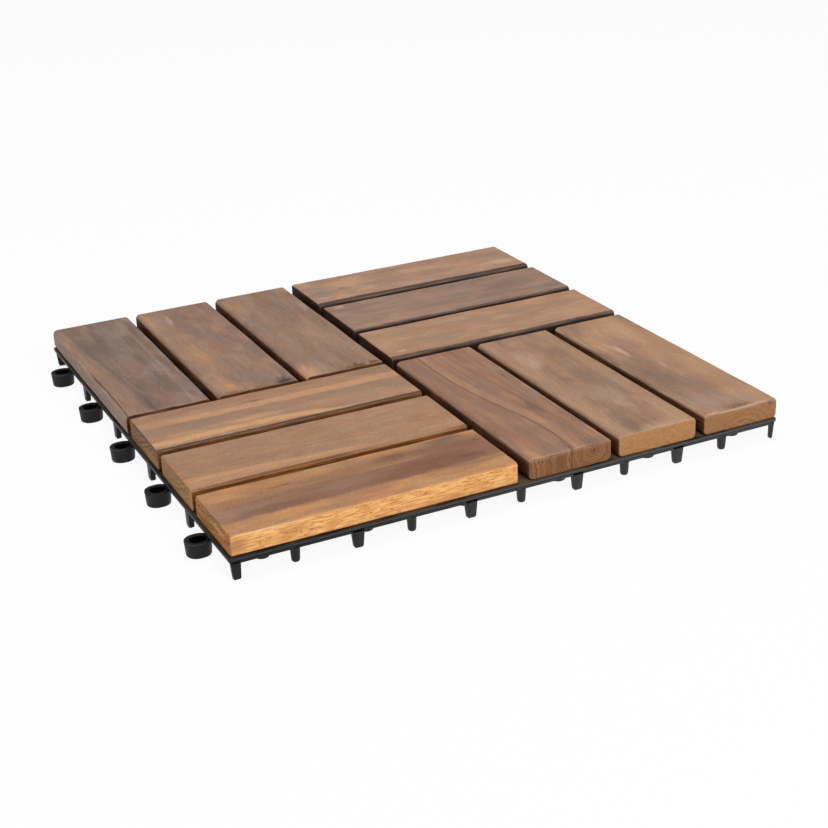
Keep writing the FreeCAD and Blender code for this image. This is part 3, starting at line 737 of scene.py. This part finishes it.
LOOKS["front_right_3"] = dict(
    extra=0.0, far=2.6, grain=0.75, fibre=0.26, tone=(0.95, 0.92, 0.9), contrast=0.9, lean=0.1,
    tones=((335, 202, 136), (392, 233, 148), (450, 268, 158)),
    ends=((235, 100, 41), (410, 200, 82)), rings=0.24, heart=(24.0, 22.0), worn=(550, 460, 380),
    wear=0.4,
    lines=[([(0, 40), (60, 38), (145, 28)], 7, 9, (440, 258, 146), 55)],
    spots=[
        (55, 10, 34, 12, (292, 188, 142), 80), (16, 14, 18, 14, (365, 268, 225), 60),
        (10, 30, 10, 8, (330, 240, 205), 50), (34, 20, 26, 12, (275, 180, 138), 40),
        (78, 16, 22, 6, (330, 205, 150), 50), (96, 12, 13, 3.2, (560, 350, 235), 60),
        (68, 21, 10, 1.6, (460, 310, 220), 50), (1, 22, 4, 12, (250, 130, 90), 50),
        (118, 12, 24, 9, (460, 262, 160), 60), (125, 30, 30, 10, (470, 292, 175), 55),
        (60, 34, 22, 6, (430, 262, 160), 50), (88, 38, 22, 5, (405, 220, 130), 50),
    ],
    end_spots=[(40.5, 1.8, 2.6, 2, KNOT, 75), (18, 0.6, 16, 1.2, (520, 400, 300), 45)],
)
GROUPS = [
    # name, side in X, side in Y, whether its slats run along Y, shift in X and in Y
    ("back_left", -1, 1, True, 0.0, -1.0),
    ("back_right", 1, 1, False, 0.7, -0.5),
    ("front_left", -1, -1, False, 0.5, 0.5),
    ("front_right", 1, -1, True, 0.5, 0.0),
]
END_ROUND = 1.1
RAGGED = 0.45  # how far an arris wanders, in millimetres
WALL_SHUT = 0.85  # how dark the wall of a gap is
CORNER_STEPS = 7
# a section's corners: side, whether it is at the top, and the angle at which it starts
SLAT_CORNERS = ((1, False, -90.0), (1, True, 0.0), (-1, True, 90.0), (-1, False, 180.0))


def wobble(seed, *spot):
    return noise.noise(Vector(spot) + Vector((seed * 13.7, seed * 5.3, 0.0)))


def join(bm, rows, closed=False):
    """Skins rows of vertices. A closed skin joins its ends, and an open one has them capped."""
    pairs = list(zip(rows, rows[1:]))
    if closed:
        pairs.append((rows[-1], rows[0]))
    count = len(rows[0])
    for near, far in pairs:
        for i in range(count):
            j = (i + 1) % count
            bm.faces.new((near[i], near[j], far[j], far[i]))
    if not closed:
        bm.faces.new(list(reversed(rows[0])))
        bm.faces.new(rows[-1])


def turned(point, quarter_turns):
    x, y, z = point
    for _ in range(quarter_turns % 4):
        x, y = -y, x
    return (x, y, z)


def add_rings(bm, rings, closed=False, turns=0):
    """Skins rings of points, given in the tile's millimetres and turned by quarter turns."""
    rows = [[bm.verts.new(to_row(*turned(point, turns))) for point in ring] for ring in rings]
    join(bm, rows, closed)


def slat_ring(place, seed, look, far_side):
    """A slat's section at a place along it, as (across, up) from the middle of its top.

    It is a rectangle with round corners, and its arrises wander as hand-sanded ones do. The
    side away from the tile's front left is a little fuller than the part's.
    """
    to_end = min(place, SLAT_LENGTH - place)
    short = max(0.0, END_ROUND - to_end) / END_ROUND
    pull = 0.8 * (1.0 - math.sqrt(1.0 - short ** 2))
    ring = []
    for index, (side, at_top, start) in enumerate(SLAT_CORNERS):
        far = side == far_side
        radius = look["far" if far and at_top else "edge"]
        radius += RAGGED * wobble(seed + index, place * 0.045, 0.0, 0.0)
        radius += 0.25 * RAGGED * wobble(seed + index, place * 0.30, 4.0, 0.0)
        radius = max(0.9, radius)
        dent = 0.10 * RAGGED * abs(wobble(seed + 9 + index, place * 0.12, 1.0, 0.0))
        centre_y = side * (SLAT_WIDTH / 2 + far * look["extra"] - radius)
        centre_z = -radius if at_top else radius - SLAT_THICK
        for step in range(CORNER_STEPS + 1):
            angle = math.radians(start + 90.0 * step / CORNER_STEPS)
            reach = radius - pull - dent * math.sin(math.pi * step / CORNER_STEPS)
            ring.append((centre_y + reach * math.cos(angle), centre_z + reach * math.sin(angle)))
    return ring


def build_slat(name, centre, along_y, seed, look, material):
    ends = [0.0, 0.08, 0.3, 0.65, END_ROUND]
    inner = SLAT_LENGTH - 2 * END_ROUND
    places = ends + [END_ROUND + inner * i / 96 for i in range(1, 96)]
    places += [SLAT_LENGTH - end for end in reversed(ends)]
    # a slat along X has its front at -y here, and one along Y its right side
    far_side = -1 if along_y else 1
    bm = bmesh.new()
    rings = []
    for place in places:
        along = place - SLAT_LENGTH / 2
        ring = []
        for across, up in slat_ring(place, seed, look, far_side):
            x, y = (-across, along) if along_y else (along, across)
            ring.append((centre[0] + x, centre[1] + y, TOP + up))
        rings.append(ring)
    add_rings(bm, rings)
    bmesh.ops.recalc_face_normals(bm, faces=bm.faces)
    return make_object(name, make_mesh(name, bm, material, 50.0))


for group, side_x, side_y, along_y, shift_x, shift_y in GROUPS:
    for number in (1, 2, 3):
        centre = [GROUP_CENTRE * side_x + shift_x, GROUP_CENTRE * side_y + shift_y]
        centre[0 if along_y else 1] += SLAT_PITCH * (number - 2)
        key = f"{group}_{number}"
        seed = list(LOOKS).index(key) + 1
        look = {**PLAIN_LOOK, **GROUP_LOOKS[group], **LOOKS[key]}
        # a group's outer slat faces out at its low v at the back, and at its high v in front
        outer, back = number == (1 if side_x < 0 else 3), side_y > 0
        walls = (not (outer and back), back or not outer, back, not back)
        wood = Wood(f"wood_{key}", centre, along_y, seed, look)
        material = wood.finish([WALL_SHUT * wall for wall in walls])
        piece = build_slat(f"plank_{key}", centre, along_y, seed, look, material)
        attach(piece, "root")
        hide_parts(f"slat_{key}")

# ------------ base


def round_rect(x0, x1, y0, y1, z, radius, steps):
    """A rectangle with round corners, from its back right corner on."""
    ring = []
    for index, (side_x, side_y) in enumerate(((1, 1), (-1, 1), (-1, -1), (1, -1))):
        x = x1 - radius if side_x > 0 else x0 + radius
        y = y1 - radius if side_y > 0 else y0 + radius
        for step in range(steps + 1):
            angle = math.radians(90.0 * (index + step / steps))
            ring.append((x + radius * math.cos(angle), y + radius * math.sin(angle), z))
    return ring


def add_rim(bm):
    """The rim's section, as (inset from the tile's edge, height), carried round the tile."""
    inner = SKIRT_INSET
    profile = [
        (RIM_WIDTH, PLATE_LOW), (inner + 0.1, PLATE_LOW), (inner, PLATE_LOW - 0.1),
        (inner, SKIRT_LOW + 0.1), (inner - 0.1, SKIRT_LOW), (1.05, SKIRT_LOW),
        (0.86, SKIRT_LOW + 0.06), (0.80, SKIRT_LOW + 0.25), (0.80, FLANGE_LOW - 0.15),
        (0.72, FLANGE_LOW - 0.02), (0.45, FLANGE_LOW + 0.02), (0.12, FLANGE_LOW + 0.06),
        (0.02, FLANGE_LOW + 0.14), (0.0, FLANGE_LOW + 0.26), (0.0, SEAT - 0.42),
        (0.06, SEAT - 0.24), (0.20, SEAT - 0.08), (0.42, SEAT), (RIM_WIDTH, SEAT),
    ]
    rings = []
    for inset, z in profile:
        half = HALF_SIDE - inset
        rings.append(round_rect(-half, half, -half, half, z, max(RIM_CORNER - inset, 0.02), 6))
    add_rings(bm, rings, closed=True)


def add_plate(bm):
    """The plate inside the rim, with its square windows."""
    edge = HALF_SIDE - RIM_WIDTH
    lines = [-edge]
    for column in (-2, -1, 0, 1, 2):
        lines += [column * LATTICE - WINDOW_HALF, column * LATTICE + WINDOW_HALF]
    lines.append(edge)
    grid = {}

    def vertex(i, j, z):
        key = (i, j, z)
        if key not in grid:
            grid[key] = bm.verts.new(to_row(lines[i], lines[j], z))
        return grid[key]

    last = len(lines) - 1
    for i in range(last):
        for j in range(last):
            corners = [(i, j), (i + 1, j), (i + 1, j + 1), (i, j + 1)]
            if i % 2 == 1 and j % 2 == 1:  # a window
                for a, b in zip(corners, corners[1:] + corners[:1]):
                    top, low = (vertex(*a, SEAT), vertex(*b, SEAT)), (b, a)
                    bm.faces.new([*top, *(vertex(*c, PLATE_LOW) for c in low)])
            else:
                bm.faces.new([vertex(*c, SEAT) for c in corners])
                bm.faces.new([vertex(*c, PLATE_LOW) for c in reversed(corners)])


def add_rib(bm, half_x, half_y, x=0.0, y=0.0):
    """A rib under the plate, with soft lower edges."""
    soft = 0.25
    levels = [(soft, 0.0), (soft * 0.3, soft * 0.3), (0.0, soft), (0.0, PLATE_LOW + 0.2 - RIB_LOW)]
    rings = []
    for inset, up in levels:
        z = RIB_LOW + up
        a, b = half_x - inset, half_y - inset
        rings.append(round_rect(x - a, x + a, y - b, y + b, z, soft, 2))
    add_rings(bm, rings)


def add_turned(bm, x, y, profile, sides=28):
    """A round piece about an upright line, from (radius, height) points."""
    turn = [2 * math.pi * i / sides for i in range(sides)]
    rings = []
    for radius, z in profile:
        rings.append([(x + radius * math.cos(a), y + radius * math.sin(a), z) for a in turn])
    add_rings(bm, rings)


def add_foot(bm, along, turns):
    """A tapered blade at the front edge, turned to any side."""
    wide, tip, corner = 3.2, 2.3, 0.95
    half = [(wide, PLATE_LOW + 0.5), (wide - 0.02, PLATE_LOW), (tip + 0.12, corner + 1.0)]
    for angle in (math.radians(18.0 * step) for step in range(6)):
        x, z = corner * math.cos(angle), corner * math.sin(angle)
        half.append((tip - corner + x, corner - z))
    outline = half + [(-x, z) for x, z in reversed(half)]
    soft, deep = 0.3, FOOT_DEPTH
    rings = []
    for depth, inset in [(0.0, soft), (0.1, 0.1), (soft, 0.0), (deep - soft, 0.0), (deep, soft)]:
        shrink, y = 1.0 - inset / wide, depth - HALF_BAND
        rings.append([(along + x * shrink, y, z + inset * (z < 1.0)) for x, z in outline])
    add_rings(bm, rings, turns=turns)


def add_corner_foot(bm, x0, x1, outer, side_y):
    """A small post under a corner, narrower at its tip on the outer side."""
    taper, soft = 0.85, 0.55
    levels = [(0.55, 0.0), (0.2, 0.1), (0.04, 0.4), (0.0, 0.9), (0.0, 5.0), (0.0, PLATE_LOW + 0.3)]
    rings = []
    for inset, z in levels:
        lean = taper * max(0.0, 1.0 - z / PLATE_LOW)
        low = x0 + inset + (lean if outer < 0 else 0.0)
        high = x1 - inset - (lean if outer > 0 else 0.5 * lean)
        near, far = HALF_BAND - FOOT_DEPTH + inset, HALF_BAND - inset
        ring = round_rect(low, high, near, far, z, soft, 3)
        rings.append([(x, y * side_y, z) for x, y, z in ring])
    add_rings(bm, rings)


def loop_ring(radius, z, along):
    """A loop's outline about its cap at (-LOOP_LINE, 0), at a height and moved along its side."""
    ring = []
    for step in range(49):
        angle = math.radians(90.0 + 180.0 * step / 24)
        middle = -LOOP_LINE + (LOOP_STRETCH if step > 24 else 0.0)
        ring.append((middle + radius * math.cos(angle), radius * math.sin(angle) + along, z))
        if step == 24:
            ring.append((middle + LOOP_STRETCH, along - radius, z))
    return ring


def add_loop(bm, along, turns):
    """A loop on the left side, turned to any side, with the root that joins it to the skirt."""
    low, high = LOOP_LOW, LOOP_HIGH
    outer = [
        (1.0, low), (0.78, low + 0.12), (0.62, low + 0.4), (0.52, low + 0.9),
        (0.12, high - 1.0), (0.02, high - 0.3), (0.12, high - 0.08), (0.34, high),
    ]
    inner = [
        (-0.35, high), (-0.10, high - 0.12), (0.0, high - 0.4),
        (0.0, low + 0.35), (-0.08, low + 0.1), (-0.30, low),
    ]
    rings = [loop_ring(LOOP_RADIUS - inset, z, along) for inset, z in outer]
    rings += [loop_ring(HOLE_RADIUS - inset, z, along) for inset, z in inner]
    add_rings(bm, rings, closed=True, turns=turns)
    heights = (high - 0.3, SKIRT_LOW + 0.3)
    root = [[(x, y + along, z) for x, y in LOOP_ROOT] for z in heights]
    add_rings(bm, root, turns=turns)


# turned pieces under the base, as (radius, height)
POST = [(5.2, 0.4), (5.9, 0.52), (6.3, 0.9), (6.5, 1.6), (6.55, PLATE_LOW + 0.2)]
STUD = [(2.4, 2.0), (3.2, 2.15), (3.7, 2.5), (3.9, 3.2), (3.9, PLATE_LOW + 0.2)]
PIN = [
    (0.8, 0.5), (1.4, 0.6), (1.78, 0.88), (1.98, 1.4), (2.08, 2.4), (2.33, 6.6),
    (2.38, 7.4), (2.75, SKIRT_LOW), (2.75, SKIRT_LOW + 0.2),
]


def build_base(material):
    bm = bmesh.new()
    add_rim(bm)
    add_plate(bm)
    lines = [(line - 2.5) * LATTICE for line in range(6)]
    for line in lines:
        add_rib(bm, RIB_REACH, RIB_HALF, y=line)
        add_rib(bm, RIB_HALF, RIB_REACH, x=line)
    for x in lines:
        for y in lines:
            if max(abs(x), abs(y)) == lines[-1]:
                add_turned(bm, x, y, POST)
    for line in lines:
        for turns in range(4):
            x, y, _ = turned((line, -STUD_LINE, 0.0), turns)
            add_turned(bm, x, y, STUD, sides=20)
    for spot in (-2, -1, 0, 1, 2):
        add_turned(bm, spot * LINK, -PIN_LINE, PIN)
        add_turned(bm, PIN_LINE, spot * LINK, PIN)
        add_loop(bm, spot * LINK, 0)
        add_loop(bm, spot * LINK, 3)
    for turns, way in enumerate((1, -1, -1, 1)):
        for spot in (-1.5, -0.5, 0.5, 1.5):
            add_foot(bm, spot * LINK + FOOT_OFFSET * way, turns)
    for side_y in (-1, 1):
        add_corner_foot(bm, -HALF_BAND + 0.05, -HALF_BAND + 5.0, -1, side_y)
        add_corner_foot(bm, HALF_BAND - 2.3, HALF_BAND, 1, side_y)
    bmesh.ops.remove_doubles(bm, verts=bm.verts, dist=0.00001)
    bmesh.ops.recalc_face_normals(bm, faces=bm.faces)
    return make_object("moulded_base", make_mesh("moulded_base", bm, material, 35.0))


base = build_base(plastic())
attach(base, "root")
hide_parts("base")

# ------------ screws


def screw_mesh(material):
    """A pan-head screw, point up, about its own axis. Its head meets the plate at z = 0."""
    bm = bmesh.new()
    sides = 32
    turn = [2 * math.pi * i / sides for i in range(sides)]

    def ring(radii, z):
        spots = [(r * math.cos(a), r * math.sin(a), z) for r, a in zip(radii, turn)]
        return [bm.verts.new(Vector(spot) * MM) for spot in spots]

    def cross(reach, half):
        """The radii of a plus sign, for the recess in the head's face."""
        radii = []
        for a in turn:
            c, s = max(abs(math.cos(a)), 1e-6), max(abs(math.sin(a)), 1e-6)
            radii.append(max(min(reach / c, half / s), min(reach / s, half / c)))
        return radii

    head = [
        (1.9, -2.2), (2.5, -2.1), (3.0, -1.85), (3.3, -1.4),
        (3.4, -0.8), (3.4, -0.1), (3.3, 0.0), (1.62, 0.0),
    ]
    # the thread is a plain run of ridges
    ridge = [(1.35, 0.25), (1.68, 0.55), (1.35, 0.85)]
    thread = []
    z = 0.0
    while z < SHANK_END:
        thread += [(radius, z + up) for radius, up in ridge]
        z += THREAD_PITCH
    rows = [ring(cross(0.9, 0.22), -1.0), ring(cross(1.55, 0.38), -2.2)]
    rows += [ring([radius] * sides, z) for radius, z in head + thread + [(0.2, 10.15)]]
    join(bm, rows)
    bmesh.ops.recalc_face_normals(bm, faces=bm.faces)
    return make_mesh("deck_screw", bm, material, 35.0)


def screw_spots(side_x, side_y, along_y, number):
    """Where a slat's two screws stand, on either side of its middle line."""
    side_along, side_across = (side_y, side_x) if along_y else (side_x, side_y)
    line = LATTICE * (1.5 * side_across + number - 2)
    spots = []
    for end, cells, way in (("a", 1, -1), ("b", 2, 1)):
        along = LATTICE * cells * side_along
        across = line + SCREW_ASIDE * way * side_across
        spots.append((end, across, along) if along_y else (end, along, across))
    return spots


screw = screw_mesh(steel())
for group, side_x, side_y, along_y, shift_x, shift_y in GROUPS:
    for number in (1, 2, 3):
        for end, x, y in screw_spots(side_x, side_y, along_y, number):
            piece = make_object(f"deck_screw_{group}_{number}{end}", screw.copy())
            twist = Matrix.Rotation(wobble(number, x * 0.31, y * 0.17, 0.0) * 3.0, 4, "Z")
            piece.data.transform(Matrix.Translation(to_row(x, y, PLATE_LOW)) @ twist)
            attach(piece, "root")
            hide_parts(f"screw_{group}_{number}{end}")

# ------------ stage, light and camera


def stage_material():
    """A pale floor that shows white to the camera and keeps a trace of the shadow."""
    n = Nodes(bpy.data.materials.new("stage_white"))
    diffuse = n.put("ShaderNodeBsdfDiffuse", {"Color": (860, 860, 860)})
    glow = n.put("ShaderNodeEmission", {"Color": WHITE, "Strength": 1.0})
    rays = [
        n.put("ShaderNodeLightPath", {}, f"Is {kind} Ray")
        for kind in ("Camera", "Glossy", "Transmission")
    ]
    seen = n.math("MAXIMUM", n.math("MAXIMUM", *rays[:2]), rays[2])
    n.feed(n.out, n.put("ShaderNodeMixShader", {0: seen * 0.93, 1: diffuse, 2: glow}))
    return n.owner


def light_world(world):
    """A soft white sky, and a plain white one where the camera sees it."""
    n = Nodes(world, "ShaderNodeOutputWorld")
    kind = "ShaderNodeBackground"
    sky, seen = (n.put(kind, {"Color": WHITE, "Strength": power}) for power in (0.30, 1.0))
    ray = n.put("ShaderNodeLightPath", {}, "Is Camera Ray")
    n.feed(n.out, n.put("ShaderNodeMixShader", {0: ray, 1: sky, 2: seen}))
    return world


def add_lamp(name, spot, size, power):
    """A round lamp at a spot in metres that shines at the origin."""
    data = bpy.data.lights.new(name, "AREA")
    data.shape = "DISK"
    data.size = size
    data.energy = power
    light = make_object(name, data)
    light.location = spot
    light.rotation_euler = (-Vector(spot)).to_track_quat("-Z", "Y").to_euler()


bm = bmesh.new()
bmesh.ops.create_grid(bm, x_segments=1, y_segments=1, size=6.0)
floor = make_object("stage_floor", make_mesh("stage_floor", bm, stage_material(), 40.0))

scene = bpy.context.scene
scene.world = light_world(bpy.data.worlds.new("studio"))
add_lamp("key", (0.45, -1.6, 1.15), 1.0, 21.0)
add_lamp("top", (-0.1, 0.1, 2.0), 1.2, 17.0)
add_lamp("fill", (-1.7, -0.4, 0.7), 1.2, 7.0)

# the photograph's camera, fitted to the corners of the slats
back = Vector((-0.39480973, -0.82562102, 0.40308214))
right = Vector((0.89493246, -0.44485652, -0.03462038))
up = Vector((0.20789703, 0.34706283, 0.91450873))
camera_data = bpy.data.cameras.new("camera")
camera_data.sensor_fit = "HORIZONTAL"
camera_data.sensor_width = 36.0
camera_data.lens = 69.465
camera_data.clip_start = 0.05
camera = make_object("camera", camera_data)
turn = Matrix((right, up, back)).transposed().to_4x4()
camera.matrix_world = Matrix.Translation(to_row(-340.567, -742.796, 350.159)) @ turn
scene.camera = camera
scene.view_settings.view_transform = "Standard"
